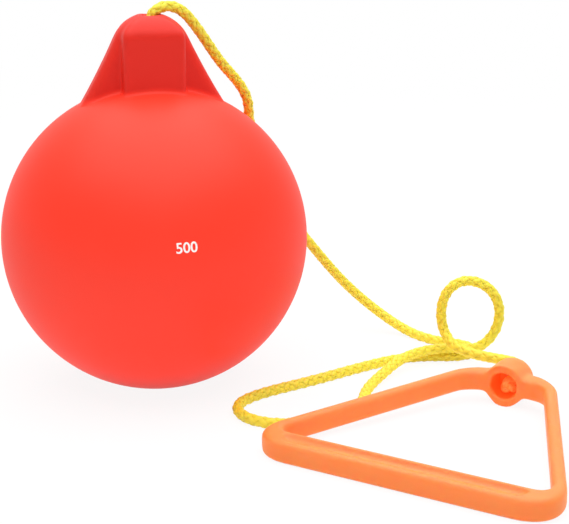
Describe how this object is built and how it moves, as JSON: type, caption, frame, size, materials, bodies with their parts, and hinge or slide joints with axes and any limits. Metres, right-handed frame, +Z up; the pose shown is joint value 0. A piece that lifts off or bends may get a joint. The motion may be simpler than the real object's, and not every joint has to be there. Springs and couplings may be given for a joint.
{
  "type": "training throwing hammer",
  "caption": "Hollow plastic throwing ball with a ribbed neck, a swivelling plaited rope and a moulded triangular grip handle lying beside it.",
  "frame": {"origin": "centre of the flat foot that the ball stands on, on the floor", "axes": "+Z up along the ball's neck; +X along the handle's grip; +Y from the grip towards the rope end of the handle"},
  "size_m": [0.2927, 0.1924, 0.1764],
  "materials": {
    "ball": "soft satin moulded plastic",
    "sand": "loose dry sand",
    "plug": "matt",
    "washer": "plain zinc",
    "rope": "plaited polypropylene",
    "handle": "satin moulded plastic"
  },
  "bodies": {
    "ball": {"ball_shell": "ball", "sand_fill": "sand", "neck_plug": "plug", "ball_washer": "washer"},
    "rope": {"rope": "rope", "ball_knot": "rope", "handle_knot": "rope"},
    "handle": {"handle": "handle", "handle_washer": "handle"}
  },
  "joints": [
    {"name": "rope_swivel", "type": "hinge", "parent": "ball", "child": "rope", "pos_m": [0, 0, 0.165], "axis": [0, 0, 1], "continuous": true},
    {"name": "handle_turn", "type": "hinge", "parent": "rope", "child": "handle", "pos_m": [0.15465, 0.0563, 0.00999], "axis": [-0.0122, 0.9989, 0.0456], "continuous": true}
  ]
}
